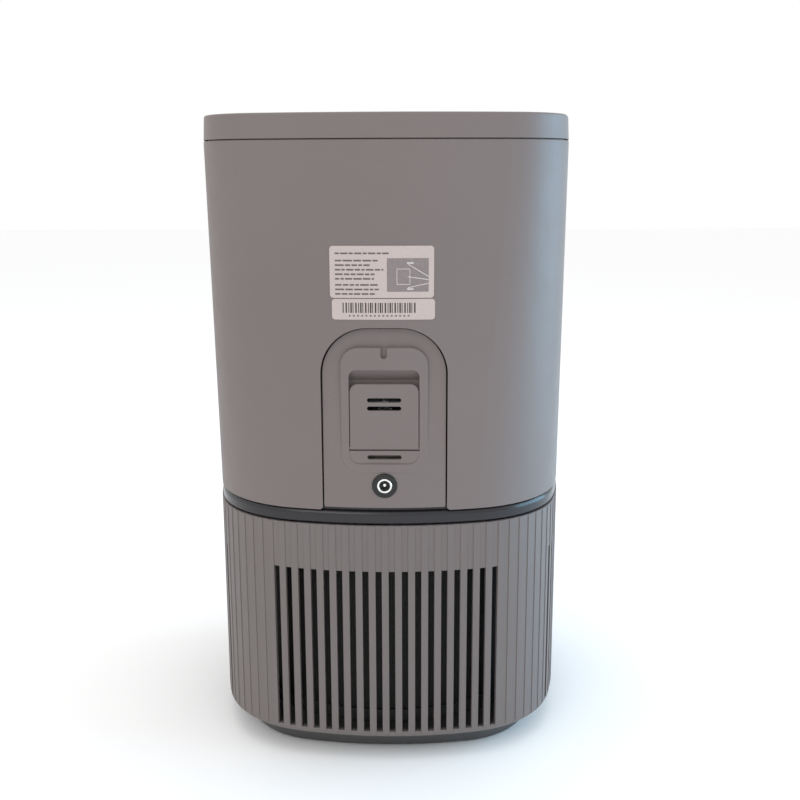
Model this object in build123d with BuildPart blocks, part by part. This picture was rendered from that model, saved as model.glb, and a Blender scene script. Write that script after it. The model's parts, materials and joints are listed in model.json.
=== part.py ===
from build123d import *
import math
import os

# Air purifier: a ribbed filter housing below and a smooth fan head above, square in plan
# with bowed sides. Sizes are in millimetres. The origin is the middle of the face that it
# stands on and +Z is up. The front faces -Y; the rear, with the inlet jack, faces +Y.

# Outlines are (half width, radius of the bowed sides, corner radius)
FOOTPRINT = (99.2, 248.0, 52.0)
SHOULDER = (109.0, 246.0, 60.0)
SHELL = (116.1, 242.0, 68.0)
HEAD_LOW = (115.7, 246.0, 71.0)
HEAD_HIGH = (116.6, 380.0, 46.0)
RIM_LOW = (116.5, 380.0, 46.0)
RIM_HIGH = (115.8, 379.3, 45.3)
WAIST = (115.5, 242.1, 68.1)

# Levels, from the floor up
FOOT_REACH = 1.2
SHELL_BOTTOM = 15.0
TRAY_BOTTOM = 17.5
TRAY_TOP = 20.0
SLOT_BOTTOM = 19.6
SLOT_TOP = 127.0
NECK_BOTTOM = 146.0
FAN_PLATE_BOTTOM = 152.0
FAN_PLATE_TOP = 155.0
SHELL_TOP = 156.5
HEAD_BOTTOM = 166.0
HEAD_TOP = 385.0
RIM_BOTTOM = 385.7
DECK_BOTTOM = 392.0
DECK_TOP = 395.0
HEIGHT = 400.0

# Walls and gaps
SHELL_WALL = 2.4
HEAD_WALL = 2.8
PLINTH_WALL = 3.0
NECK_WALL = 2.2
BODY_GAP = 0.3
PANEL_GAP = 0.9

# Ribs and intake slots
SLOTS_PER_SIDE = 18
CORNER_GROOVES = 6
RIB_PITCH = 8.128
GROOVE_WIDTH = 3.9
GROOVE_DEPTH = 0.4

# Filter cartridge
FILTER_RADIUS = 104.0
FILTER_BORE = 60.0
FILTER_BOTTOM = TRAY_TOP + BODY_GAP
FILTER_TOP = 148.0
CAP_HEIGHT = 8.0
CAP_PLATE = 2.5
CAP_LIP = 1.6
PLEATS = 110

# Fan
DUCT_RADIUS = 84.0
DUCT_WALL = 2.0
IMPELLER_RADIUS = 78.0
IMPELLER_INLET = 48.0
BLADES = 11
VANES = 9
SHAFT_RADIUS = 2.5
SHAFT_CLEARANCE = 0.02
BEARING_RADIUS = 7.0
BACKPLATE_BOTTOM = 205.5
ROTOR_BOTTOM = 208.0
CUP_BOTTOM = 226.0
CUP_TOP = 262.0

# Rear panel, measured along the wall from the middle and up from the floor
ARCH_HALF = 37.7
ARCH_TOP = 277.8
ARCH_RADIUS = 28.0
ARCH_FOOT = 168.0
FOOT_ROUND = 2.5
FOOT_CROSSING = 0.1
SEAM_BEVEL = 0.4
SINK_LOW = 0.2
SINK_HIGH = 4.5
PANEL_TOP_BOW = 1500.0  # radius of the panel across its top, which is nearly flat
PANEL_WALL = 2.8
PAD_HALF = 26.1
PAD_BOTTOM = 189.5
PAD_TOP = 266.2
PAD_SINK = 0.75
POCKET_HALF = 21.0
POCKET_BOTTOM = 195.2
POCKET_TOP = 252.7
POCKET_FLOOR = 108.0
COVER_BOTTOM = 203.8
COVER_TOP = 244.1
COVER_FACE = 114.2
COVER_THICK = 2.1
COVER_GAP = 0.35
COVER_SLOT = 2.6
JACK_HEIGHT = 181.8
SENSOR_HEIGHT = 228.0

# Control strip at the front of the top
STRIP_Y = -98.5
STRIP_WIDTH = 92.0
STRIP_DEPTH = 19.0
STRIP_TOP = 396.2
BUTTON_RADIUS = 5.0
BUTTONS = {"button_power": -36.0, "button_mode": -19.0, "button_timer": 19.0, "button_light": 36.0}

REAR = Plane(origin=(0, 0, 0), x_dir=(-1, 0, 0), z_dir=(0, 1, 0))
FAR = 130.0  # beyond every wall


def level(z):
    """Horizontal sketch plane at a height."""
    return Plane.XY.offset(z)


def inset(outline, distance):
    """An outline moved inwards by the same distance all round."""
    return tuple(size - distance for size in outline)


def corner_centre(outline):
    """Distance from the axis, along X and along Y, to a corner arc's centre."""
    half_width, side_radius, corner_radius = outline
    setback = side_radius - half_width
    reach = side_radius - corner_radius
    return (math.sqrt(2 * reach**2 - setback**2) - setback) / 2


def side_end(outline):
    """Angle in radians, seen from a side arc's centre, from its middle to its end."""
    centre = corner_centre(outline)
    return math.atan2(centre, centre + outline[1] - outline[0])


def crowned_square(outline):
    """Face with four bowed sides and tangent corner arcs."""
    half_width, side_radius, corner_radius = outline
    centre = corner_centre(outline)
    end = math.degrees(side_end(outline))
    with BuildSketch() as face:
        with BuildLine():
            for turn in range(0, 360, 90):
                behind = Vector(half_width - side_radius, 0).rotate(Axis.Z, turn)
                corner = Vector(centre, centre).rotate(Axis.Z, turn)
                CenterArc(behind, side_radius, turn - end, 2 * end)
                CenterArc(corner, corner_radius, turn + end, 90 - 2 * end)
        make_face()
    return face.sketch


def outline_place(outline, length, turn):
    """Place on an outline, facing out, at an arc length from the middle of the side at turn."""
    half_width, side_radius, corner_radius = outline
    angle = abs(length) / side_radius
    x = side_radius * math.sin(angle)
    y = side_radius * math.cos(angle) - side_radius + half_width
    if angle > side_end(outline):
        past_side = abs(length) - side_radius * side_end(outline)
        angle = side_end(outline) + past_side / corner_radius
        x = corner_centre(outline) + corner_radius * math.sin(angle)
        y = corner_centre(outline) + corner_radius * math.cos(angle)
    x, angle = math.copysign(x, length), math.copysign(angle, length)
    return Location((0, 0, 0), (0, 0, turn)) * Location((x, y, 0), (0, 0, -math.degrees(angle)))


def block(low_z, low_outline, high_z, high_outline):
    """Solid between two level outlines."""
    with BuildPart() as solid:
        with BuildSketch(level(low_z)):
            add(crowned_square(low_outline))
        with BuildSketch(level(high_z)):
            add(crowned_square(high_outline))
        loft(ruled=True)
    return solid.part


def head_outline(z, distance=0.0):
    """The head's outline at a height, moved inwards by a distance."""
    rise = (z - HEAD_BOTTOM) / (HEAD_TOP - HEAD_BOTTOM)
    return tuple(low + rise * (high - low) - distance for low, high in zip(HEAD_LOW, HEAD_HIGH))


def head_block(low_z, low_inset, high_z, high_inset):
    """Solid between two heights of the head, each moved inwards by its own distance."""
    return block(low_z, head_outline(low_z, low_inset), high_z, head_outline(high_z, high_inset))


def upright_outline(half_width, bottom, top, top_radius, bottom_radius=0.0):
    """Upright rectangle with rounded top corners and, if asked, rounded bottom corners."""
    with BuildSketch() as face:
        with Locations((0, (bottom + top) / 2)):
            Rectangle(2 * half_width, top - bottom)
        fillet(face.vertices().group_by(Axis.Y)[-1], top_radius)
        if bottom_radius:
            fillet(face.vertices().group_by(Axis.Y)[0], bottom_radius)
    return face.sketch


def rear_prism(outline, near, far):
    """An upright outline carried along Y from near to far."""
    with BuildPart() as solid:
        with BuildSketch(REAR.offset(near)):
            add(outline)
        extrude(amount=far - near)
    return solid.part


def ring(inner, outer, bottom, top):
    """Plain ring about the axis."""
    with BuildPart() as solid:
        with BuildSketch(level(bottom)):
            Circle(outer)
            Circle(inner, mode=Mode.SUBTRACT)
        extrude(amount=top - bottom)
    return solid.part


def revolved(points):
    """Solid of revolution about Z from a closed profile of (radius, height) points."""
    with BuildPart() as solid:
        with BuildSketch(Plane.XZ):
            with BuildLine():
                Polyline(*points, close=True)
            make_face()
        revolve(axis=Axis.Z)
    return solid.part


def save(piece, name):
    """Labels a finished piece and writes it."""
    piece.part.label = name
    export_step(piece.part, f"parts/{name}.step")


os.makedirs("parts", exist_ok=True)

# ---------------------------------------------------------------- lower housing
FOOT_PLACES = GridLocations(110, 156, 2, 2).locations
BASE_SCREW_PLACES = GridLocations(128, 128, 2, 2).locations
FOOT_RADIUS = 8.0
FOOT_TOP = 2.2
BASE_BOSS_RADIUS = 5.0
SCREW_RADIUS = 1.7
SCREW_HEAD_RADIUS = 3.6

with BuildPart() as base_plinth:
    add(block(FOOT_REACH, FOOTPRINT, SHELL_BOTTOM, SHOULDER))
    fillet(base_plinth.faces().sort_by(Axis.Z)[0].edges(), 1.5)
    hollow_bottom = FOOT_REACH + PLINTH_WALL
    add(
        block(hollow_bottom, inset(FOOTPRINT, PLINTH_WALL), SHELL_BOTTOM, inset(SHOULDER, PLINTH_WALL)),
        mode=Mode.SUBTRACT,
    )
    with Locations(*[Pos(0, 0, FOOT_REACH) * place for place in FOOT_PLACES]):
        Cylinder(FOOT_RADIUS, 2 * (FOOT_TOP - FOOT_REACH), mode=Mode.SUBTRACT)
    with Locations(*[Pos(0, 0, FOOT_REACH) * place for place in BASE_SCREW_PLACES]):
        Cylinder(SCREW_HEAD_RADIUS + 0.4, 3.0, mode=Mode.SUBTRACT)
        Cylinder(SCREW_RADIUS + 0.3, 2 * hollow_bottom, mode=Mode.SUBTRACT)
save(base_plinth, "base_plinth")

with BuildPart() as rubber_feet:
    with BuildSketch(level(0)):
        with Locations(*FOOT_PLACES):
            Circle(FOOT_RADIUS)
    extrude(amount=FOOT_TOP)
    chamfer(rubber_feet.edges().group_by(Axis.Z)[0], 0.5)
save(rubber_feet, "rubber_feet")

slot_lengths = [(i - (SLOTS_PER_SIDE - 1) / 2) * RIB_PITCH for i in range(SLOTS_PER_SIDE)]
eighth = SHELL[1] * side_end(SHELL) + SHELL[2] * (math.pi / 4 - side_end(SHELL))
corner_pitch = 2 * (eighth - slot_lengths[-1]) / (CORNER_GROOVES + 1)
corner_lengths = [slot_lengths[-1] + (i + 1) * corner_pitch for i in range(CORNER_GROOVES // 2)]
groove_lengths = slot_lengths + corner_lengths + [-length for length in corner_lengths]
TURNS = range(0, 360, 90)

with BuildPart() as grille_shell:
    with BuildSketch(level(SHELL_BOTTOM)):
        add(crowned_square(SHELL))
    extrude(amount=SHELL_TOP - SHELL_BOTTOM)
    fillet(grille_shell.faces().sort_by(Axis.Z)[0].edges(), 4.0)
    fillet(grille_shell.faces().sort_by(Axis.Z)[-1].edges(), 0.8)
    with BuildSketch(level(SHELL_BOTTOM)):
        with Locations(*[outline_place(SHELL, length, turn) for length in groove_lengths for turn in TURNS]):
            Rectangle(GROOVE_WIDTH, 2 * GROOVE_DEPTH)
    extrude(amount=SHELL_TOP - SHELL_BOTTOM, mode=Mode.SUBTRACT)
    with BuildSketch(level(SHELL_BOTTOM)):
        add(crowned_square(inset(SHELL, 14.0)))
    extrude(amount=TRAY_BOTTOM - SHELL_BOTTOM, mode=Mode.SUBTRACT)
    with BuildSketch(level(TRAY_BOTTOM)):
        add(crowned_square(inset(SHELL, SHELL_WALL)))
    extrude(amount=SHELL_TOP - TRAY_BOTTOM, mode=Mode.SUBTRACT)
    with BuildSketch(level(SLOT_BOTTOM)):
        with Locations(*[outline_place(SHELL, length, turn) for length in slot_lengths for turn in TURNS]):
            Rectangle(GROOVE_WIDTH, 4 * SHELL_WALL)
    extrude(amount=SLOT_TOP - SLOT_BOTTOM, mode=Mode.SUBTRACT)
save(grille_shell, "grille_shell")

with BuildPart() as filter_tray:
    with BuildSketch(level(TRAY_BOTTOM)):
        add(crowned_square(inset(SHELL, SHELL_WALL)))
    extrude(amount=TRAY_TOP - TRAY_BOTTOM)
    add(ring(FILTER_BORE - 4.0, FILTER_BORE - 1.5, TRAY_TOP, TRAY_TOP + 5.0))
    with BuildSketch(level(hollow_bottom)):
        with Locations(*BASE_SCREW_PLACES):
            Circle(BASE_BOSS_RADIUS)
    extrude(amount=TRAY_BOTTOM - hollow_bottom)
    with BuildSketch(level(hollow_bottom)):
        with Locations(*BASE_SCREW_PLACES):
            Circle(SCREW_RADIUS)
    extrude(amount=10.0, mode=Mode.SUBTRACT)
save(filter_tray, "filter_tray")

with BuildPart() as base_screws:
    head_bottom = FOOT_REACH + 0.2
    shank_bottom = FOOT_REACH + 1.5
    for place in BASE_SCREW_PLACES:
        with BuildSketch(level(head_bottom)):
            with Locations(place):
                Circle(SCREW_HEAD_RADIUS)
                RegularPolygon(1.4, 6, mode=Mode.SUBTRACT)
        extrude(amount=shank_bottom - head_bottom)
        with BuildSketch(level(shank_bottom - 0.5)):
            with Locations(place):
                Circle(SCREW_RADIUS)
        extrude(amount=11.0)
save(base_screws, "base_screws")

# ---------------------------------------------------------------- filter cartridge
LIP_OUTER = FILTER_RADIUS
SLEEVE_OUTER = FILTER_RADIUS - CAP_LIP
MEDIA_BOTTOM = FILTER_BOTTOM + CAP_PLATE
MEDIA_TOP = FILTER_TOP - CAP_PLATE


def filter_cap(plate_outer_z, plate_inner_z, lip_z):
    """End cap: a flat ring with a lip round the media."""
    low_plate, high_plate = sorted((plate_outer_z, plate_inner_z))
    low_lip, high_lip = sorted((plate_inner_z, lip_z))
    with BuildPart() as cap:
        add(ring(FILTER_BORE, LIP_OUTER, low_plate, high_plate))
        add(ring(SLEEVE_OUTER, LIP_OUTER, low_lip, high_lip))
        add(ring(FILTER_BORE, FILTER_BORE + CAP_LIP, low_lip, high_lip))
    return cap


filter_bottom_cap = filter_cap(FILTER_BOTTOM, MEDIA_BOTTOM, FILTER_BOTTOM + CAP_HEIGHT)
save(filter_bottom_cap, "filter_bottom_cap")
filter_top_cap = filter_cap(FILTER_TOP, MEDIA_TOP, FILTER_TOP - CAP_HEIGHT)
save(filter_top_cap, "filter_top_cap")

with BuildPart() as filter_wrap:
    add(ring(SLEEVE_OUTER - 1.2, SLEEVE_OUTER, MEDIA_BOTTOM, MEDIA_TOP))
save(filter_wrap, "filter_wrap")

with BuildPart() as carbon_core:
    add(ring(FILTER_BORE + CAP_LIP, FILTER_BORE + CAP_LIP + 7.0, MEDIA_BOTTOM, MEDIA_TOP))
save(carbon_core, "carbon_core")

PLEAT_INNER = FILTER_BORE + CAP_LIP + 7.4
PLEAT_OUTER = SLEEVE_OUTER - 1.6
with BuildPart() as hepa_pleats:
    half_step = 180 / PLEATS
    folds = []
    for depth in (0.0, 1.1):
        for i in range(2 * PLEATS):
            reach = (PLEAT_OUTER - depth if i % 2 else PLEAT_INNER + 1.1 - depth)
            folds.append(Vector(reach, 0).rotate(Axis.Z, i * half_step))
    with BuildSketch(level(MEDIA_BOTTOM)):
        with BuildLine():
            Polyline(*folds[: 2 * PLEATS], close=True)
        make_face()
        with BuildLine():
            Polyline(*folds[2 * PLEATS :], close=True)
        make_face(mode=Mode.SUBTRACT)
    extrude(amount=MEDIA_TOP - MEDIA_BOTTOM)
save(hepa_pleats, "hepa_pleats")

SEAL_TOP = FAN_PLATE_BOTTOM - BODY_GAP
with BuildPart() as filter_seal:
    add(ring(66.0, 92.0, FILTER_TOP, SEAL_TOP))
    fillet(filter_seal.edges().group_by(Axis.Z)[-1], 1.2)
save(filter_seal, "filter_seal")

with BuildPart() as pull_tab:
    with BuildSketch(level(FILTER_TOP)):
        with Locations((0, -97.5)):
            RectangleRounded(30, 9, 3)
    extrude(amount=1.2)
save(pull_tab, "pull_tab")

# ---------------------------------------------------------------- neck and fan floor
NECK_SKIRT = inset(SHELL, SHELL_WALL + 0.7)
NECK_INSIDE = inset(NECK_SKIRT, NECK_WALL)
NECK_SPIGOT = inset(HEAD_LOW, HEAD_WALL)
WAIST_BOTTOM = SHELL_TOP + 0.9
WAIST_ROLL = 3.5
WAIST_UNDER_ROLL = 1.4
SPIGOT_TOP = HEAD_BOTTOM + 7.0
PLATE_SCREW_PLACES = GridLocations(164, 164, 2, 2).locations

with BuildPart() as neck_ring:
    with BuildSketch(level(NECK_BOTTOM)):
        add(crowned_square(NECK_SKIRT))
    extrude(amount=HEAD_BOTTOM - NECK_BOTTOM)
    with BuildSketch(level(WAIST_BOTTOM)):
        add(crowned_square(WAIST))
    extrude(amount=HEAD_BOTTOM - WAIST_BOTTOM)
    fillet(neck_ring.faces().filter_by(Axis.Z).group_by(Axis.Z)[-1].edges(), WAIST_ROLL)
    waist_underside = neck_ring.faces().filter_by(Axis.Z).group_by(Axis.Z)[1][0]
    fillet(waist_underside.outer_wire().edges(), WAIST_UNDER_ROLL)
    add(block(HEAD_BOTTOM - 2.0, NECK_SPIGOT, SPIGOT_TOP, inset(NECK_SPIGOT, 0.6)))
    with BuildSketch(level(NECK_BOTTOM)):
        add(crowned_square(NECK_INSIDE))
    extrude(amount=SPIGOT_TOP - NECK_BOTTOM, mode=Mode.SUBTRACT)
    with BuildSketch(level(FAN_PLATE_BOTTOM - 3.0)):
        add(crowned_square(NECK_INSIDE))
        add(crowned_square(inset(NECK_INSIDE, 3.5)), mode=Mode.SUBTRACT)
        with Locations(*PLATE_SCREW_PLACES):
            Circle(5.0)
    extrude(amount=3.0)
    with BuildSketch(level(FAN_PLATE_BOTTOM - 3.0)):
        with Locations(*PLATE_SCREW_PLACES):
            Circle(SCREW_RADIUS)
    extrude(amount=3.0, mode=Mode.SUBTRACT)
save(neck_ring, "neck_ring")

BELL_TOP = 168.0
BELL_RADIUS = IMPELLER_INLET - 1.4
with BuildPart() as fan_plate:
    with BuildSketch(level(FAN_PLATE_BOTTOM)):
        add(crowned_square(NECK_INSIDE))
        Circle(58.0, mode=Mode.SUBTRACT)
        with Locations(*PLATE_SCREW_PLACES):
            Circle(SCREW_RADIUS, mode=Mode.SUBTRACT)
    extrude(amount=FAN_PLATE_TOP - FAN_PLATE_BOTTOM)
    bell = [(58.0, FAN_PLATE_BOTTOM), (60.0, FAN_PLATE_TOP), (50.0, 160.0), (BELL_RADIUS, 163.0)]
    bell += [(BELL_RADIUS, BELL_TOP), (BELL_RADIUS - 2.0, BELL_TOP), (BELL_RADIUS - 2.0, 162.0), (49.0, 158.0)]
    add(revolved(bell))
save(fan_plate, "fan_plate")

with BuildPart() as plate_screws:
    with BuildSketch(level(FAN_PLATE_TOP)):
        with Locations(*PLATE_SCREW_PLACES):
            Circle(SCREW_HEAD_RADIUS)
            RegularPolygon(1.4, 6, mode=Mode.SUBTRACT)
    extrude(amount=2.2)
    with BuildSketch(level(FAN_PLATE_BOTTOM - 3.0)):
        with Locations(*PLATE_SCREW_PLACES):
            Circle(SCREW_RADIUS)
    extrude(amount=FAN_PLATE_TOP - FAN_PLATE_BOTTOM + 3.4)
save(plate_screws, "plate_screws")

GUARD_BOTTOM = FAN_PLATE_BOTTOM - 1.6
with BuildPart() as inlet_guard:
    with BuildSketch(level(GUARD_BOTTOM)):
        for outer in (62.0, 48.5, 35.0, 21.5, 8.0):
            Circle(outer)
            Circle(outer - (4.0 if outer == 62.0 else 2.0), mode=Mode.SUBTRACT)
        with PolarLocations(33.0, 10):
            Rectangle(53.0, 1.8)
    extrude(amount=FAN_PLATE_BOTTOM - GUARD_BOTTOM)
save(inlet_guard, "inlet_guard")

# ---------------------------------------------------------------- fan
HUB_BOTTOM = 202.0
NUT_BOTTOM = 197.5


def blade_edge(turn):
    """Backward-curved blade face, from the inlet to the tip."""
    points = [Vector(radius, 0).rotate(Axis.Z, angle + turn) for radius, angle in
              ((40.0, 0.0), (60.0, -15.0), (IMPELLER_RADIUS - 1.0, -38.0))]
    return ThreePointArc(*points)


with BuildPart() as blade_set:
    with BuildSketch(level(BELL_TOP - 8.0)):
        for i in range(BLADES):
            with BuildLine():
                pressure = blade_edge(i * 360 / BLADES)
                suction = blade_edge(i * 360 / BLADES + 2.0)
                Line(pressure @ 0, suction @ 0)
                Line(pressure @ 1, suction @ 1)
            make_face()
    extrude(amount=BACKPLATE_BOTTOM - BELL_TOP + 8.0)
    envelope = [(38.0, BELL_TOP + 2.0), (IMPELLER_INLET + 3.0, BELL_TOP + 2.0), (IMPELLER_RADIUS, 179.0)]
    envelope += [(IMPELLER_RADIUS, BACKPLATE_BOTTOM), (38.0, BACKPLATE_BOTTOM)]
    add(revolved(envelope), mode=Mode.INTERSECT)

with BuildPart() as impeller:
    add(blade_set.part)
    shroud = [(IMPELLER_INLET, BELL_TOP - 3.0), (IMPELLER_INLET + 2.0, BELL_TOP - 3.0)]
    shroud += [(IMPELLER_INLET + 4.0, BELL_TOP), (IMPELLER_RADIUS, 177.0), (IMPELLER_RADIUS, 179.5)]
    shroud += [(IMPELLER_INLET + 2.0, BELL_TOP + 3.0), (IMPELLER_INLET, BELL_TOP + 0.5)]
    add(revolved(shroud))
    add(ring(SHAFT_RADIUS, IMPELLER_RADIUS, BACKPLATE_BOTTOM, ROTOR_BOTTOM))
    add(ring(SHAFT_RADIUS, 9.0, HUB_BOTTOM, BACKPLATE_BOTTOM))
save(impeller, "impeller")

with BuildPart() as motor_rotor:
    add(ring(SHAFT_RADIUS, 29.5, ROTOR_BOTTOM, ROTOR_BOTTOM + 2.5))
    add(ring(27.0, 29.5, ROTOR_BOTTOM, 236.0))
    add(ring(SHAFT_RADIUS, 6.0, ROTOR_BOTTOM, 213.0))
save(motor_rotor, "motor_rotor")

with BuildPart() as motor_shaft:
    with BuildSketch(level(NUT_BOTTOM - 3.0)):
        Circle(SHAFT_RADIUS)
    extrude(amount=57.5)
    chamfer(motor_shaft.edges(), 0.5)
save(motor_shaft, "motor_shaft")

with BuildPart() as shaft_nut:
    with BuildSketch(level(NUT_BOTTOM)):
        RegularPolygon(5.2, 6)
        Circle(SHAFT_RADIUS, mode=Mode.SUBTRACT)
    extrude(amount=HUB_BOTTOM - NUT_BOTTOM)
save(shaft_nut, "shaft_nut")

BEARING_LEVELS = (215.0, 246.0)
BEARING_HEIGHT = 5.0
with BuildPart() as motor_bearings:
    for bottom in BEARING_LEVELS:
        add(ring(SHAFT_RADIUS + SHAFT_CLEARANCE, BEARING_RADIUS, bottom, bottom + BEARING_HEIGHT))
save(motor_bearings, "motor_bearings")

STATOR_POLES = 9
with BuildPart() as motor_stator:
    with BuildSketch(level(218.0)):
        Circle(14.0)
        with PolarLocations(17.5, STATOR_POLES):
            Rectangle(9.0, 4.0)
        with PolarLocations(23.0, STATOR_POLES):
            Rectangle(3.0, 12.0)
        Circle(10.0, mode=Mode.SUBTRACT)
    extrude(amount=14.0)
save(motor_stator, "motor_stator")

with BuildPart() as diffuser:
    add(ring(33.0, 35.5, CUP_BOTTOM, CUP_TOP))
    add(ring(0.0 + BEARING_RADIUS, 35.5, CUP_TOP - 2.5, CUP_TOP))
    add(ring(BEARING_RADIUS, 10.0, 214.0, CUP_TOP - 2.5))
    with BuildSketch(level(CUP_BOTTOM)):
        for i in range(VANES):
            with BuildLine():
                sweep_points = ((34.5, 0.0), (60.0, 5.0), (DUCT_RADIUS - 0.2, 16.0))
                turned = i * 360 / VANES
                face_a = ThreePointArc(*[Vector(r, 0).rotate(Axis.Z, a + turned) for r, a in sweep_points])
                face_b = ThreePointArc(*[Vector(r, 0).rotate(Axis.Z, a + turned + 2.4) for r, a in sweep_points])
                Line(face_a @ 0, face_b @ 0)
                Line(face_a @ 1, face_b @ 1)
            make_face()
    extrude(amount=CUP_TOP - CUP_BOTTOM)
    add(ring(DUCT_RADIUS - 2.0, DUCT_RADIUS, CUP_BOTTOM, CUP_TOP))
save(diffuser, "diffuser")

with BuildPart() as fan_duct:
    add(ring(DUCT_RADIUS, DUCT_RADIUS + DUCT_WALL, FAN_PLATE_TOP, DECK_BOTTOM))
save(fan_duct, "fan_duct")

# ---------------------------------------------------------------- head walls
collar_outline = upright_outline(ARCH_HALF + 2.2, 150.0, ARCH_TOP + 2.2, ARCH_RADIUS + 2.2)
with BuildSketch() as arch_opening:
    add(upright_outline(ARCH_HALF, 150.0, ARCH_TOP, ARCH_RADIUS))
    # Below the feet's rounding the opening is wider; the rounding crosses the head's underside
    flare_top = HEAD_BOTTOM + FOOT_ROUND - FOOT_CROSSING
    with Locations((0, (150.0 + flare_top) / 2)):
        Rectangle(2 * (ARCH_HALF + FOOT_ROUND), flare_top - 150.0)
    with Locations((-ARCH_HALF - FOOT_ROUND, flare_top), (ARCH_HALF + FOOT_ROUND, flare_top)):
        Circle(FOOT_ROUND, mode=Mode.SUBTRACT)


def panel_block(depth):
    """Solid behind the rear panel's face moved inwards by a depth: bowed below, nearly flat above."""
    top = ARCH_TOP + 3.0
    half_width, _, corner_radius = head_outline(top, SINK_HIGH)
    top_outline = (half_width, PANEL_TOP_BOW, corner_radius)
    return block(HEAD_BOTTOM, head_outline(HEAD_BOTTOM, SINK_LOW + depth), top, inset(top_outline, depth))


panel_back = panel_block(PANEL_WALL)

with BuildPart() as arch_collar:
    add(rear_prism(collar_outline, 100.0, FAR))
    add(head_block(HEAD_BOTTOM, 0.0, ARCH_TOP + 3.0, 0.0), mode=Mode.INTERSECT)
    add(panel_back, mode=Mode.SUBTRACT)

with BuildPart() as upper_housing:
    add(head_block(HEAD_BOTTOM, 0.0, HEAD_TOP - SEAM_BEVEL, 0.0))
    add(head_block(HEAD_TOP - SEAM_BEVEL, 0.0, HEAD_TOP, SEAM_BEVEL))
    add(head_block(HEAD_BOTTOM, HEAD_WALL, HEAD_TOP, HEAD_WALL), mode=Mode.SUBTRACT)
    add(arch_collar.part)
    add(rear_prism(arch_opening.sketch, 90.0, FAR), mode=Mode.SUBTRACT)
save(upper_housing, "upper_housing")

panel_outline = upright_outline(
    ARCH_HALF - PANEL_GAP, ARCH_FOOT, ARCH_TOP - PANEL_GAP, ARCH_RADIUS - PANEL_GAP, 1.2
)
pad_outline = upright_outline(PAD_HALF, PAD_BOTTOM, PAD_TOP, 11.0, 11.0)
pocket_outline = upright_outline(POCKET_HALF, POCKET_BOTTOM, POCKET_TOP, 4.5, 6.5)

with BuildPart() as sensor_pad:
    add(rear_prism(pad_outline, 107.0, FAR))
    add(head_block(HEAD_BOTTOM, PAD_SINK, ARCH_TOP + 3.0, PAD_SINK), mode=Mode.INTERSECT)
    front_edges = sensor_pad.faces().sort_by(Axis.Y)[-1].edges()
    fillet(front_edges, 0.9)

with BuildPart() as pocket:
    add(rear_prism(pocket_outline, POCKET_FLOOR, FAR))
    with BuildSketch(Plane.YZ.offset(-POCKET_HALF)):
        with BuildLine():
            Polyline(
                (POCKET_FLOOR, COVER_TOP + 1.5),
                (POCKET_FLOOR, POCKET_TOP + 1.0),
                (112.6, POCKET_TOP + 1.0),
                (112.6, POCKET_TOP - 0.6),
                close=True,
            )
        make_face()
    extrude(amount=2 * POCKET_HALF, mode=Mode.SUBTRACT)

HINGE_Y = COVER_FACE - COVER_THICK / 2
HINGE_Z = COVER_BOTTOM + COVER_THICK / 2
TRUNNION_RADIUS = 0.8
TRUNNION_REACH = POCKET_HALF + 1.8
JACK_SEAT = 114.2
JACK_FLANGE = 7.5
JACK_BARREL = 5.5

with BuildPart() as rear_panel:
    add(rear_prism(panel_outline, 100.0, FAR))
    add(panel_block(0.0), mode=Mode.INTERSECT)
    add(panel_back, mode=Mode.SUBTRACT)
    add(sensor_pad.part)
    with BuildSketch(REAR.offset(POCKET_FLOOR - 2.0)):
        add(upright_outline(POCKET_HALF + 4.0, POCKET_BOTTOM - 4.0, POCKET_TOP + 4.0, 5.0, 5.0))
    extrude(amount=4.0)
    add(pocket.part, mode=Mode.SUBTRACT)
    with BuildSketch(REAR.offset(90.0)):
        with Locations((0, SENSOR_HEIGHT)):
            RectangleRounded(24.0, 18.0, 3.0)
    extrude(amount=20.0, mode=Mode.SUBTRACT)
    with BuildSketch(REAR.offset(90.0)):
        with Locations((0, JACK_HEIGHT)):
            Circle(JACK_BARREL)
    extrude(amount=40.0, mode=Mode.SUBTRACT)
    with BuildSketch(REAR.offset(JACK_SEAT)):
        with Locations((0, JACK_HEIGHT)):
            Circle(JACK_FLANGE + 0.05)
    extrude(amount=10.0, mode=Mode.SUBTRACT)
    with BuildSketch(REAR.offset(113.0)):
        with Locations((0, PAD_TOP - 3.1)):
            SlotOverall(7.2, 3.8, rotation=90)
    extrude(amount=10.0, mode=Mode.SUBTRACT)
    with BuildSketch(Plane.YZ.offset(-TRUNNION_REACH - 0.3)):
        with Locations((HINGE_Y, HINGE_Z)):
            Circle(TRUNNION_RADIUS + 0.05)
    extrude(amount=2 * TRUNNION_REACH + 0.6, mode=Mode.SUBTRACT)
save(rear_panel, "rear_panel")

with BuildPart() as sensor_cover:
    with BuildSketch(REAR.offset(COVER_FACE - COVER_THICK)):
        add(upright_outline(POCKET_HALF - COVER_GAP, HINGE_Z, COVER_TOP, 5.0))
        with Locations((0, 234.3), (0, 229.3)):
            SlotOverall(20.4, COVER_SLOT, mode=Mode.SUBTRACT)
    extrude(amount=COVER_THICK)
    fillet(sensor_cover.faces().sort_by(Axis.Y)[-1].outer_wire().edges().group_by(Axis.Z)[1:], 0.5)
    with BuildSketch(Plane.YZ.offset(-POCKET_HALF + COVER_GAP)):
        with Locations((HINGE_Y, HINGE_Z)):
            Circle(COVER_THICK / 2)
    extrude(amount=2 * (POCKET_HALF - COVER_GAP))
    with BuildSketch(Plane.YZ.offset(-TRUNNION_REACH)):
        with Locations((HINGE_Y, HINGE_Z)):
            Circle(TRUNNION_RADIUS)
    extrude(amount=2 * TRUNNION_REACH)
save(sensor_cover, "sensor_cover")

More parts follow.
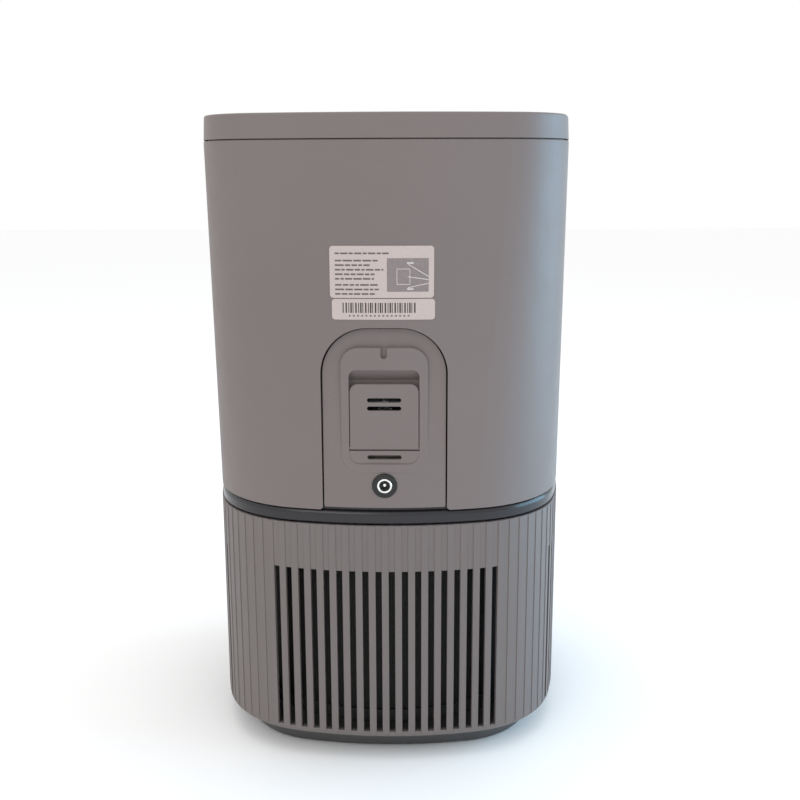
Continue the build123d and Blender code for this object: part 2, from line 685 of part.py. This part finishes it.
TRIM_TOP = COVER_BOTTOM - 0.45
with BuildPart() as sensor_trim:
    with BuildSketch(REAR.offset(POCKET_FLOOR)):
        add(upright_outline(POCKET_HALF, POCKET_BOTTOM, TRIM_TOP, 0.5, 6.5))
        with Locations((0, 199.3)):
            SlotOverall(20.6, COVER_SLOT, mode=Mode.SUBTRACT)
    extrude(amount=COVER_FACE - POCKET_FLOOR)
save(sensor_trim, "sensor_trim")

SENSOR_FACE = POCKET_FLOOR - 2.0
with BuildPart() as dust_sensor:
    with BuildSketch(REAR.offset(SENSOR_FACE)):
        with Locations((0, SENSOR_HEIGHT)):
            RectangleRounded(38.0, 30.0, 2.0)
    extrude(amount=-16.0)
    with BuildSketch(REAR.offset(SENSOR_FACE)):
        with Locations((0, SENSOR_HEIGHT)):
            Circle(5.0)
    extrude(amount=-4.0, mode=Mode.SUBTRACT)
save(dust_sensor, "dust_sensor")

with BuildPart() as sensor_lens:
    with BuildSketch(REAR.offset(SENSOR_FACE - 4.0)):
        with Locations((0, SENSOR_HEIGHT)):
            Circle(5.0)
    extrude(amount=1.5)
    fillet(sensor_lens.faces().sort_by(Axis.Y)[-1].edges(), 1.0)
save(sensor_lens, "sensor_lens")

# ---------------------------------------------------------------- power inlet
JACK_BACK = 100.0
SOCKET_OUTER = 4.45
SOCKET_INNER = 3.3
SOCKET_FLOOR = 106.0
JACK_FRONT = 115.8


def jack_round(radius, near, far, bore=0.0):
    """Cylinder along the inlet's axis, with a bore if asked."""
    with BuildPart() as solid:
        with BuildSketch(REAR.offset(near)):
            with Locations((0, JACK_HEIGHT)):
                Circle(radius)
                if bore:
                    Circle(bore, mode=Mode.SUBTRACT)
        extrude(amount=far - near)
    return solid.part


with BuildPart() as dc_jack_body:
    add(jack_round(JACK_BARREL, JACK_BACK, JACK_SEAT))
    add(jack_round(JACK_FLANGE, JACK_SEAT, JACK_FRONT))
    fillet(dc_jack_body.faces().sort_by(Axis.Y)[-1].edges(), 0.6)
    add(jack_round(SOCKET_OUTER, SOCKET_FLOOR, FAR), mode=Mode.SUBTRACT)
save(dc_jack_body, "dc_jack_body")

with BuildPart() as dc_jack_sleeve:
    add(jack_round(SOCKET_OUTER, SOCKET_FLOOR, JACK_FRONT + 0.3, bore=SOCKET_INNER))
    chamfer(dc_jack_sleeve.faces().sort_by(Axis.Y)[-1].edges(), 0.25)
save(dc_jack_sleeve, "dc_jack_sleeve")

with BuildPart() as dc_jack_pin:
    add(jack_round(1.05, SOCKET_FLOOR, JACK_SEAT))
    fillet(dc_jack_pin.faces().sort_by(Axis.Y)[-1].edges(), 0.6)
save(dc_jack_pin, "dc_jack_pin")

# ---------------------------------------------------------------- labels
LABEL_THICKNESS = 0.2
ADHESIVE = 0.05


def wall_label(across, half_width, bottom, top, radius):
    """Thin sheet an adhesive layer off the rear wall of the head, its middle moved across towards -X."""
    outline = Pos(across, 0) * upright_outline(half_width, bottom, top, radius, radius)
    with BuildPart() as sheet:
        add(rear_prism(outline, 100.0, FAR))
        label_front = -(ADHESIVE + LABEL_THICKNESS)
        add(head_block(HEAD_BOTTOM, label_front, HEAD_TOP, label_front), mode=Mode.INTERSECT)
        add(head_block(HEAD_BOTTOM, -ADHESIVE, HEAD_TOP, -ADHESIVE), mode=Mode.SUBTRACT)
    return sheet


info_label = wall_label(-0.8, 30.2, 295.5, 325.5, 2.0)
save(info_label, "info_label")
barcode_label = wall_label(0.0, 30.0, 282.8, 294.9, 2.0)
save(barcode_label, "barcode_label")

# ---------------------------------------------------------------- top
RIM_WALL = 3.0
RIM_SPIGOT_BOTTOM = 377.0
with BuildPart() as top_rim:
    add(block(RIM_BOTTOM, RIM_LOW, HEIGHT, RIM_HIGH))
    fillet(top_rim.faces().sort_by(Axis.Z)[-1].edges(), 1.4)
    add(block(RIM_BOTTOM, inset(RIM_LOW, RIM_WALL), HEIGHT, inset(RIM_HIGH, RIM_WALL)), mode=Mode.SUBTRACT)
    with BuildSketch(level(RIM_SPIGOT_BOTTOM)):
        add(crowned_square(head_outline(RIM_SPIGOT_BOTTOM, HEAD_WALL + 0.05)))
        add(crowned_square(head_outline(RIM_SPIGOT_BOTTOM, HEAD_WALL + 2.5)), mode=Mode.SUBTRACT)
    extrude(amount=RIM_BOTTOM + 2.0 - RIM_SPIGOT_BOTTOM)
save(top_rim, "top_rim")

rim_share = (DECK_BOTTOM - RIM_BOTTOM) / (HEIGHT - RIM_BOTTOM)
DECK = tuple(low + rim_share * (high - low) - RIM_WALL - 0.25 for low, high in zip(RIM_LOW, RIM_HIGH))
BUTTON_HOLE = BUTTON_RADIUS + BODY_GAP
button_places = [(x, STRIP_Y) for x in BUTTONS.values()]

BOARD_BOTTOM = 382.0
BOARD_TOP = 383.6
with BuildPart() as top_deck:
    with BuildSketch(level(DECK_BOTTOM)):
        add(crowned_square(DECK))
        Circle(DUCT_RADIUS, mode=Mode.SUBTRACT)
        with Locations(*button_places):
            Circle(BUTTON_HOLE, mode=Mode.SUBTRACT)
        with Locations((0, STRIP_Y)):
            Rectangle(12.0, 4.0, mode=Mode.SUBTRACT)
    extrude(amount=DECK_TOP - DECK_BOTTOM)
    with BuildSketch(level(BOARD_TOP)):
        with Locations((-27.5, -105.5), (27.5, -105.5)):
            Circle(2.2)
    extrude(amount=DECK_BOTTOM - BOARD_TOP)
save(top_deck, "top_deck")

GRILLE_PITCH = 5.6
GRILLE_RINGS = 11
GRILLE_CENTRE = 20.0
GRILLE_BOTTOM = 391.0
with BuildPart() as outlet_grille:
    with BuildSketch(level(GRILLE_BOTTOM)):
        Circle(DUCT_RADIUS)
        for i in reversed(range(GRILLE_RINGS)):
            gap_inner = GRILLE_CENTRE + i * GRILLE_PITCH
            Circle(gap_inner + 3.6, mode=Mode.SUBTRACT)
            Circle(gap_inner)
        with PolarLocations(51.0, 16):
            Rectangle(64.0, 1.8)
    extrude(amount=DECK_TOP - GRILLE_BOTTOM)
save(outlet_grille, "outlet_grille")

with BuildPart() as control_panel:
    with BuildSketch(level(DECK_TOP)):
        with Locations((0, STRIP_Y)):
            RectangleRounded(STRIP_WIDTH, STRIP_DEPTH, 6.0)
            Rectangle(12.0, 4.0, mode=Mode.SUBTRACT)
        with Locations(*button_places):
            Circle(BUTTON_HOLE, mode=Mode.SUBTRACT)
    extrude(amount=STRIP_TOP - DECK_TOP)
save(control_panel, "control_panel")

with BuildPart() as status_window:
    with BuildSketch(level(DECK_BOTTOM)):
        with Locations((0, STRIP_Y)):
            Rectangle(12.0, 4.0)
    extrude(amount=STRIP_TOP + 0.2 - DECK_BOTTOM)
save(status_window, "status_window")

FLANGE_TOP = DECK_BOTTOM - BODY_GAP
for name, x in BUTTONS.items():
    with BuildPart() as button:
        with BuildSketch(level(FLANGE_TOP - 1.6)):
            with Locations((x, STRIP_Y)):
                Circle(BUTTON_RADIUS + 1.4)
        extrude(amount=1.6)
        with BuildSketch(level(FLANGE_TOP)):
            with Locations((x, STRIP_Y)):
                Circle(BUTTON_RADIUS)
        extrude(amount=STRIP_TOP + 1.4 - FLANGE_TOP)
        fillet(button.edges().group_by(Axis.Z)[-1], 0.6)
        with BuildSketch(level(FLANGE_TOP - 2.9)):
            with Locations((x, STRIP_Y)):
                Circle(1.6)
        extrude(amount=2.0)
    save(button, name)

with BuildPart() as display_board:
    with BuildSketch(level(BOARD_BOTTOM)):
        with Locations((0, STRIP_Y - 0.5)):
            Rectangle(86.0, 18.0)
    extrude(amount=BOARD_TOP - BOARD_BOTTOM)
save(display_board, "display_board")

with BuildPart() as tact_switches:
    with BuildSketch(level(BOARD_TOP)):
        with Locations(*button_places):
            Rectangle(6.0, 6.0)
    extrude(amount=2.6)
    with BuildSketch(level(BOARD_TOP + 2.6)):
        with Locations(*button_places):
            Circle(1.7)
    extrude(amount=0.9)
save(tact_switches, "tact_switches")

# ---------------------------------------------------------------- main board in a rear corner
CORNER = Plane(origin=(75.0, 75.0, 0), x_dir=(-1, 1, 0), z_dir=(1, 1, 0))
BOARD_MIDDLE = 305.0
with BuildPart() as main_board:
    with BuildSketch(CORNER):
        with Locations((0, BOARD_MIDDLE)):
            Rectangle(64.0, 100.0)
    extrude(amount=1.6)
save(main_board, "main_board")

with BuildPart() as board_parts:
    with BuildSketch(CORNER):
        with Locations((-18, 335), (-6, 335), (8, 335)):
            Circle(5.0)
    extrude(amount=-14.0)
    with BuildSketch(CORNER):
        with Locations((16, 300), (-14, 300)):
            Rectangle(16.0, 14.0)
        with Locations((-20, 266), (0, 266), (20, 266)):
            Rectangle(14.0, 6.0)
    extrude(amount=-7.0)
save(board_parts, "board_parts")
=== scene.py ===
import json
import math

import bmesh
import bpy
from mathutils import Matrix, Vector
from mathutils.bvhtree import BVHTree


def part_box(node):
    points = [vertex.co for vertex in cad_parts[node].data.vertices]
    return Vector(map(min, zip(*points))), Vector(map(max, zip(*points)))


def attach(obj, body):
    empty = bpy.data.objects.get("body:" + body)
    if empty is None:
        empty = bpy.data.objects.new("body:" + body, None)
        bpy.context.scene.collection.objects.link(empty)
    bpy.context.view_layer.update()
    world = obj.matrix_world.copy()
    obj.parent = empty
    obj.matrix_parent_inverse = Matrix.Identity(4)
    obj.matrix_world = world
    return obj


# Air purifier seen from behind. Lengths are in metres, in the CAD frame, except in the label print, which is
# set out in millimetres.
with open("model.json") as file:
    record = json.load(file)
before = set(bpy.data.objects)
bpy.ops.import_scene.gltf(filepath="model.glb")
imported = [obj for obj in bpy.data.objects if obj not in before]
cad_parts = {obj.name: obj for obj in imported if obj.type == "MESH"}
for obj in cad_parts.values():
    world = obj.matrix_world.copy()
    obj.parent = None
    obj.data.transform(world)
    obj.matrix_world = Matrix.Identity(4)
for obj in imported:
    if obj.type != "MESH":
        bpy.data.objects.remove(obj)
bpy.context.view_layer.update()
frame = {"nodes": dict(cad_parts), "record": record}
MM = 0.001


# ---------------------------------------------------------------- node helpers
def add_node(tree, kind, inputs=None, **settings):
    """A node with its settings and its input values; an input may also be another node's socket."""
    made = tree.nodes.new(kind)
    for key, value in settings.items():
        setattr(made, key, value)
    for key, value in (inputs or {}).items():
        if isinstance(value, bpy.types.NodeSocket):
            tree.links.new(value, made.inputs[key])
        else:
            made.inputs[key].default_value = value
    return made


def new_material(name, roughness, metallic=0.0, specular=0.5):
    """Material with its shader's fixed numbers set."""
    material = bpy.data.materials.new(name)
    material.use_nodes = True
    shader = material.node_tree.nodes["Principled BSDF"]
    shader.inputs["Roughness"].default_value = roughness
    shader.inputs["Metallic"].default_value = metallic
    shader.inputs["Specular IOR Level"].default_value = specular
    return material, material.node_tree, shader


def place(tree):
    """The point's place on the object, in metres."""
    return add_node(tree, "ShaderNodeTexCoord").outputs["Object"]


def noise(tree, scale, detail=3.0, roughness=0.5, vector=None):
    """Noise value over the object."""
    inputs = {"Vector": vector or place(tree), "Scale": scale, "Detail": detail, "Roughness": roughness}
    return add_node(tree, "ShaderNodeTexNoise", inputs).outputs["Fac"]


def spread(tree, value, low, high):
    """A value from 0.3 to 0.7 carried to the range from low to high."""
    inputs = {"Value": value, "From Min": 0.3, "From Max": 0.7, "To Min": low, "To Max": high}
    return add_node(tree, "ShaderNodeMapRange", inputs).outputs["Result"]


def tint(tree, colour, factor):
    """A colour made lighter or darker by a factor."""
    scaled = add_node(tree, "ShaderNodeVectorMath", {0: colour, "Scale": factor}, operation="SCALE")
    return scaled.outputs["Vector"]


def edge_mask(tree, radius):
    """1 along edges sharper than the radius and 0 on flat surface, with the rounded normal."""
    rounded = add_node(tree, "ShaderNodeBevel", {"Radius": radius}, samples=4).outputs["Normal"]
    true_normal = add_node(tree, "ShaderNodeNewGeometry").outputs["Normal"]
    match = add_node(tree, "ShaderNodeVectorMath", {0: rounded, 1: true_normal}, operation="DOT_PRODUCT")
    inputs = {"Value": match.outputs["Value"], "From Min": 0.98, "From Max": 0.8, "To Min": 0.0, "To Max": 1.0}
    return add_node(tree, "ShaderNodeMapRange", inputs).outputs["Result"], rounded


def bump(tree, height, distance, strength, normal=None):
    """Bump normal from a height."""
    inputs = {"Height": height, "Distance": distance, "Strength": strength}
    if normal:
        inputs["Normal"] = normal
    return add_node(tree, "ShaderNodeBump", inputs).outputs["Normal"]


# ---------------------------------------------------------------- materials
def moulded(name, colour, roughness, mottle=0.03, grain=1400.0, grain_depth=0.02, painted_edge_highlight=0.12, radius=0.4):
    """Moulded plastic: spark-eroded grain, slow colour drift, softened edges with a painted highlight that makes
    their colour lighter.
    """
    material, tree, shader = new_material(name, roughness)
    drift = spread(tree, noise(tree, 9.0, 4.0), 1 - mottle, 1 + mottle)
    speck = spread(tree, noise(tree, 700.0, 2.0), 0.985, 1.015)
    factor = add_node(tree, "ShaderNodeMath", {0: drift, 1: speck}, operation="MULTIPLY").outputs[0]
    edges, rounded = edge_mask(tree, radius * MM)
    # Painted highlight: the colour is made lighter along edges by the edge factor times the edge mask.
    edge_lit_factor = add_node(tree, "ShaderNodeMath", {0: edges, 1: painted_edge_highlight, 2: factor}, operation="MULTIPLY_ADD").outputs[0]
    tree.links.new(tint(tree, colour, edge_lit_factor), shader.inputs["Base Color"])
    rough = spread(tree, noise(tree, 60.0, 3.0), roughness - 0.035, roughness + 0.035)
    tree.links.new(rough, shader.inputs["Roughness"])
    grained = bump(tree, noise(tree, grain, 2.0), grain_depth * MM, 0.5, rounded)
    tree.links.new(grained, shader.inputs["Normal"])
    return material


def metal(name, colour, roughness, stretch=(1.0, 1.0, 1.0)):
    """Metal with fine drawn or turned marks along one direction."""
    material, tree, shader = new_material(name, roughness, metallic=1.0)
    mapped = add_node(tree, "ShaderNodeMapping", {"Vector": place(tree), "Scale": stretch}).outputs["Vector"]
    marks = noise(tree, 500.0, 3.0, vector=mapped)
    tree.links.new(tint(tree, colour, spread(tree, marks, 0.9, 1.08)), shader.inputs["Base Color"])
    tree.links.new(spread(tree, marks, roughness - 0.06, roughness + 0.08), shader.inputs["Roughness"])
    rounded = edge_mask(tree, 0.2 * MM)[1]
    tree.links.new(bump(tree, marks, 0.01 * MM, 0.3, rounded), shader.inputs["Normal"])
    return material


def fibrous(name, colour, roughness, scale, depth, sheen=0.2):
    """Paper, felt or foam: tangled fibres or cells with soft sheen."""
    material, tree, shader = new_material(name, roughness, specular=0.25)
    shader.inputs["Sheen Weight"].default_value = sheen
    cells = add_node(tree, "ShaderNodeTexVoronoi", {"Vector": place(tree), "Scale": scale}).outputs["Distance"]
    fibres = noise(tree, scale * 0.6, 5.0, 0.7)
    height = add_node(tree, "ShaderNodeMath", {0: cells, 1: fibres}, operation="ADD").outputs[0]
    tree.links.new(tint(tree, colour, spread(tree, fibres, 0.9, 1.08)), shader.inputs["Base Color"])
    tree.links.new(bump(tree, height, depth * MM, 0.6), shader.inputs["Normal"])
    return material


def woven_mesh(name, thread, gap, pitch):
    """Net of crossing threads round the axis: its pattern follows the angle and the height."""
    material, tree, shader = new_material(name, 0.5, specular=0.4)
    parts = add_node(tree, "ShaderNodeSeparateXYZ", {"Vector": place(tree)})
    angle = add_node(tree, "ShaderNodeMath", {0: parts.outputs["Y"], 1: parts.outputs["X"]}, operation="ARCTAN2")
    turns = round(2 * math.pi * WRAP_RADIUS / pitch)
    around = add_node(tree, "ShaderNodeMath", {0: angle.outputs[0], 1: turns / 2.0}, operation="MULTIPLY")
    upwards = add_node(tree, "ShaderNodeMath", {0: parts.outputs["Z"], 1: math.pi / pitch}, operation="MULTIPLY")
    threads = []
    for phase in (around, upwards):
        wave = add_node(tree, "ShaderNodeMath", {0: phase.outputs[0]}, operation="SINE")
        height = add_node(tree, "ShaderNodeMath", {0: wave.outputs[0]}, operation="ABSOLUTE")
        threads.append(height.outputs[0])
    lifted = add_node(tree, "ShaderNodeMath", {0: threads[0], 1: threads[1]}, operation="MAXIMUM").outputs[0]
    inputs = {"Value": lifted, "From Min": 0.72, "From Max": 0.9, "To Min": 0.0, "To Max": 1.0}
    mask = add_node(tree, "ShaderNodeMapRange", inputs).outputs["Result"]
    mixed = add_node(tree, "ShaderNodeMix", {"Factor": mask}, data_type="RGBA")
    mixed.inputs["A"].default_value = (*gap, 1)
    mixed.inputs["B"].default_value = (*thread, 1)
    colour_out = next(s for s in mixed.outputs if s.type == "RGBA")
    tree.links.new(colour_out, shader.inputs["Base Color"])
    tree.links.new(bump(tree, mask, 0.25 * MM, 0.8), shader.inputs["Normal"])
    return material


def clear(name, colour, roughness):
    """Clear moulded lens with faint waviness."""
    material, tree, shader = new_material(name, roughness)
    shader.inputs["Transmission Weight"].default_value = 0.85
    shader.inputs["IOR"].default_value = 1.49
    wave = noise(tree, 40.0, 2.0)
    tree.links.new(tint(tree, colour, spread(tree, wave, 0.96, 1.0)), shader.inputs["Base Color"])
    tree.links.new(bump(tree, wave, 0.02 * MM, 0.2), shader.inputs["Normal"])
    return material


WRAP_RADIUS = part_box("filter_wrap")[1].x
BODY_GREY = (0.166, 0.138, 0.133)
# The shell's grey is the head's grey darkened about 0.9 times: painted shade for the lower body, which gets less
# light.
SHELL_GREY_PAINTED_SHADE = (0.148, 0.126, 0.122)
# Each material's edge factor below sets the strength of the painted highlight along its edges.
MATERIALS = {
    "shell_grey": moulded("shell_grey", SHELL_GREY_PAINTED_SHADE, 0.5, painted_edge_highlight=0.3),
    "head_grey": moulded("head_grey", BODY_GREY, 0.5, painted_edge_highlight=0.3, radius=0.5),
    "base_grey": moulded("base_grey", (0.048, 0.047, 0.047), 0.5),
    "neck_black": moulded("neck_black", (0.011, 0.01, 0.013), 0.24, grain_depth=0.004, painted_edge_highlight=0.3),
    "dark_plastic": moulded("dark_plastic", (0.05, 0.05, 0.052), 0.5),
    "gloss_black": moulded("gloss_black", (0.003, 0.003, 0.003), 0.28, grain_depth=0.002, painted_edge_highlight=0.5, radius=0.25),
    "button_grey": moulded("button_grey", (0.13, 0.125, 0.125), 0.38, grain_depth=0.008),
    "fan_plastic": moulded("fan_plastic", (0.055, 0.056, 0.06), 0.34, grain_depth=0.006),
    "filter_frame": moulded("filter_frame", (0.018, 0.018, 0.019), 0.55),
    "component_black": moulded("component_black", (0.02, 0.02, 0.02), 0.4, radius=0.2),
    "board_green": moulded("board_green", (0.01, 0.075, 0.03), 0.28, mottle=0.1, grain=300.0, radius=0.2),
    "foot_rubber": fibrous("foot_rubber", (0.02, 0.02, 0.02), 0.85, 1500.0, 0.03, sheen=0.3),
    "seal_foam": fibrous("seal_foam", (0.03, 0.03, 0.032), 0.95, 900.0, 0.35),
    "filter_paper": fibrous("filter_paper", (0.78, 0.78, 0.74), 0.9, 1800.0, 0.05),
    "carbon": fibrous("carbon", (0.018, 0.018, 0.019), 0.8, 450.0, 0.6, sheen=0.05),
    "tab_fabric": fibrous("tab_fabric", (0.12, 0.16, 0.2), 0.8, 1100.0, 0.12, sheen=0.5),
    "label_white": fibrous("label_white", (0.50, 0.425, 0.405), 0.5, 2500.0, 0.008, sheen=0.0),
    "screen_mesh": woven_mesh("screen_mesh", (0.014, 0.013, 0.013), (0.002, 0.002, 0.002), 1.5 * MM),
    "steel": metal("steel", (0.6, 0.6, 0.61), 0.3, (1.0, 1.0, 0.05)),
    "nickel": metal("nickel", (0.86, 0.85, 0.82), 0.18, (1.0, 0.05, 1.0)),
    "lens_clear": clear("lens_clear", (0.85, 0.9, 0.92), 0.06),
}


def paint_frame():
    """Each CAD node gets the material of its slot, and smooth shading below a sharp angle."""
    for part in frame["record"]["subparts"]:
        shown = frame["nodes"][part["node"]]
        shown.data.materials.clear()
        shown.data.materials.append(MATERIALS[part["material_slot"]])
        shown.data.shade_smooth()
        shown.data.set_sharp_from_angle(angle=math.radians(28))


# ---------------------------------------------------------------- label print
BEHIND_THE_REAR = 0.2
PRINT_STEP = 4 * MM
LINE_PITCH = 2.62
CAPTION_MARKS = 15
CAPTION_PITCH = 2.45


def front_of(node):
    """Function from (across, up) to the point on a node's rear-facing surface; across runs along -X."""
    mesh = frame["nodes"][node].data
    surface = BVHTree.FromPolygons([v.co for v in mesh.vertices], [list(p.vertices) for p in mesh.polygons])

    def project(across, up):
        return surface.ray_cast(Vector((-across, BEHIND_THE_REAR, up)), Vector((0, -1, 0)))[0]

    return project


def stroke(mesh, project, start, end, width, lift, thickness=0.04 * MM):
    """A printed bar from start to end, as a thin closed strip that follows the surface."""
    start, end = Vector(start), Vector(end)
    along = (end - start).normalized()
    across = Vector((-along.y, along.x)) * width / 2
    steps = max(1, math.ceil((end - start).length / PRINT_STEP))
    rows = []
    for i in range(steps + 1):
        middle = start.lerp(end, i / steps)
        low, high = project(*(middle - across)), project(*(middle + across))
        outwards = Vector((0, 1, 0))
        rows.append([mesh.verts.new(point + outwards * out) for point in (low, high)
                     for out in (lift, lift + thickness)])
    for here, there in zip(rows, rows[1:]):
        for a, b in ((0, 1), (1, 3), (3, 2), (2, 0)):
            mesh.faces.new((here[a], here[b], there[b], there[a]))
    for cap in (rows[0], rows[-1]):
        mesh.faces.new((cap[0], cap[1], cap[3], cap[2]))


def printed(name, node, bars, colour, lift):
    """A piece of print on a label: bars are (start, end, width) in millimetres."""
    mesh = bmesh.new()
    project = front_of(node)
    for start, end, width in bars:
        stroke(mesh, project, [v * MM for v in start], [v * MM for v in end], width * MM, lift * MM)
    bmesh.ops.recalc_face_normals(mesh, faces=mesh.faces)
    data = bpy.data.meshes.new(name)
    mesh.to_mesh(data)
    piece = bpy.data.objects.new(name, data)
    bpy.context.scene.collection.objects.link(piece)
    material, tree, shader = new_material(name, 0.45)
    ink = spread(tree, noise(tree, 900.0, 2.0), 0.9, 1.1)
    tree.links.new(tint(tree, colour, ink), shader.inputs["Base Color"])
    data.materials.append(material)
    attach(piece, "head")


def edges_of(node):
    """Where a label's left and top edges lie, seen from behind, in millimetres; across runs along -X."""
    low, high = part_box(node)
    return -high.x / MM, high.z / MM


def text_lines():
    """Word-like bars in place of text: a heading and two paragraphs, as (start, end, width)."""
    left, top = edges_of("info_label")
    left += 3.1
    heading = [(4.3, 31.2)]
    first = [(8.45 + LINE_PITCH * row, length) for row, length in enumerate((25.2, 21.7, 28.1, 23.0, 22.7))]
    second = [(22.45 + LINE_PITCH * row, length) for row, length in enumerate((24.9, 26.1, 24.0))]
    lines = []
    for row, (down, length) in enumerate(heading + first + second):
        start = left
        word = 2.4 + (row * 7 % 5) * 0.7
        while start < left + length - 0.8:
            end = min(start + word, left + length)
            lines.append(((start, top - down), (end, top - down), 0.95))
            start = end + 0.75
            word = 1.8 + (word * 13 + row) % 3.6
    return lines


def diagram_lines(left, top, width, height):
    """A plain outline of a device and three pointers that spread from one side."""
    right, bottom = left + width, top - height
    lines = [((left + width * 0.5, top - height * share), (right, top - height * hub), 0.45)
             for share, hub in ((0.17, 0.55), (0.55, 0.64), (0.88, 0.75))]
    device = [(0.24, 0.32), (0.55, 0.32), (0.55, 0.78), (0.24, 0.78), (0.24, 0.32)]
    corners = [(left + width * across, top - height * down) for across, down in device]
    lines += [(a, b, 0.35) for a, b in zip(corners, corners[1:])]
    lines += [((left + width * 0.48, bottom + height * rise), (left + width * 0.64, bottom + height * rise), 0.9)
              for rise in (0.86, 0.08)]
    return lines


def label_print():
    """Generic print: grey bars in place of text, a plain diagram and a plain bar pattern."""
    printed("label_text_lines", "info_label", text_lines(), (0.105, 0.09, 0.088), 0.01)
    left, top = edges_of("info_label")
    left, top, width, height = left + 33.2, top - 7.1, 24.1, 19.3
    panel = [((left, top - height / 2), (left + width, top - height / 2), height)]
    printed("label_diagram_ground", "info_label", panel, (0.215, 0.18, 0.178), 0.01)
    lines = diagram_lines(left, top, width, height)
    printed("label_diagram_lines", "info_label", lines, (0.55, 0.52, 0.51), 0.06)

    left, top = edges_of("barcode_label")
    bars = []
    start, width = left + 6.6, 0.6
    while start < left + 48.5:
        bars.append(((start, top - 2.2), (start, top - 8.1), width))
        step = len(bars)
        next_width = 0.45 + 0.35 * (step * step * 5 % 4)
        start += (width + next_width) / 2 + 0.5 + 0.2 * (step * 3 % 4)
        width = next_width
    printed("barcode_bars", "barcode_label", bars, (0.012, 0.012, 0.012), 0.01)
    starts = [left + 9.8 + CAPTION_PITCH * i for i in range(CAPTION_MARKS)]
    caption = [((start, top - 9.8), (start + 1.1, top - 9.8), 0.9) for start in starts]
    printed("barcode_caption", "barcode_label", caption, (0.13, 0.115, 0.11), 0.01)


# ---------------------------------------------------------------- stage, light and camera
FLOOR_REACH = 6.0
LIGHTS_AIM = (0, 0, 0.2)
CAMERA_PLACE = (-0.0231, 0.73316, 0.36872)
CAMERA_TURN = (-0.02205, -0.21334, -0.00342)
CAMERA_LENS = 48.07
SENSOR_WIDTH = 36.0


def plain_stage():
    """White floor that runs out far on every side of the object."""
    mesh = bmesh.new()
    bmesh.ops.create_grid(mesh, x_segments=8, y_segments=8, size=FLOOR_REACH)
    data = bpy.data.meshes.new("floor")
    mesh.to_mesh(data)
    floor = bpy.data.objects.new("floor", data)
    bpy.context.scene.collection.objects.link(floor)
    material, _, shader = new_material("floor", 0.9, specular=0.0)
    shader.inputs["Base Color"].default_value = (0.97, 0.97, 0.97, 1)
    data.materials.append(material)


def area_light(name, at, size, watts, colour):
    """Soft rectangular light that faces the object's middle."""
    data = bpy.data.lights.new(name, "AREA")
    data.shape, data.size, data.size_y = "RECTANGLE", *size
    data.energy, data.color = watts, colour
    lamp = bpy.data.objects.new(name, data)
    bpy.context.scene.collection.objects.link(lamp)
    lamp.location = at
    lamp.rotation_euler = (Vector(LIGHTS_AIM) - Vector(at)).to_track_quat("-Z", "Y").to_euler()


def studio():
    """White surround, a cool window past the -X side, a lamp overhead and a weak one on the rear side."""
    world = bpy.data.worlds.new("studio")
    world.use_nodes = True
    world.node_tree.nodes["Background"].inputs["Color"].default_value = (1, 1, 1, 1)
    world.node_tree.nodes["Background"].inputs["Strength"].default_value = 1.0
    bpy.context.scene.world = world
    bpy.context.scene.view_settings.view_transform = "Standard"
    area_light("window", (-1.4, -0.1, 0.38), (1.2, 1.0), 19, (0.36, 0.72, 1.0))
    area_light("overhead", (0.1, -0.2, 1.5), (0.9, 0.9), 3, (1.0, 0.99, 0.98))
    area_light("room", (0.6, 1.4, 1.2), (0.9, 0.9), 4, (1.0, 0.99, 0.98))


def camera():
    """Camera behind the object and near the height of its top, looking slightly down."""
    yaw, pitch, roll = CAMERA_TURN
    level = math.cos(pitch)
    forward = Vector((-math.sin(yaw) * level, -math.cos(yaw) * level, math.sin(pitch)))
    level_right = forward.cross(Vector((0, 0, 1))).normalized()
    level_up = level_right.cross(forward)
    right = level_right * math.cos(roll) + level_up * math.sin(roll)
    up = level_up * math.cos(roll) - level_right * math.sin(roll)
    data = bpy.data.cameras.new("camera")
    data.lens, data.sensor_width = CAMERA_LENS, SENSOR_WIDTH
    shot = bpy.data.objects.new("camera", data)
    bpy.context.scene.collection.objects.link(shot)
    turn = Matrix((right, up, -forward)).transposed()
    shot.matrix_world = Matrix.Translation(CAMERA_PLACE) @ turn.to_4x4()
    bpy.context.scene.camera = shot


paint_frame()
label_print()
plain_stage()
studio()
camera()
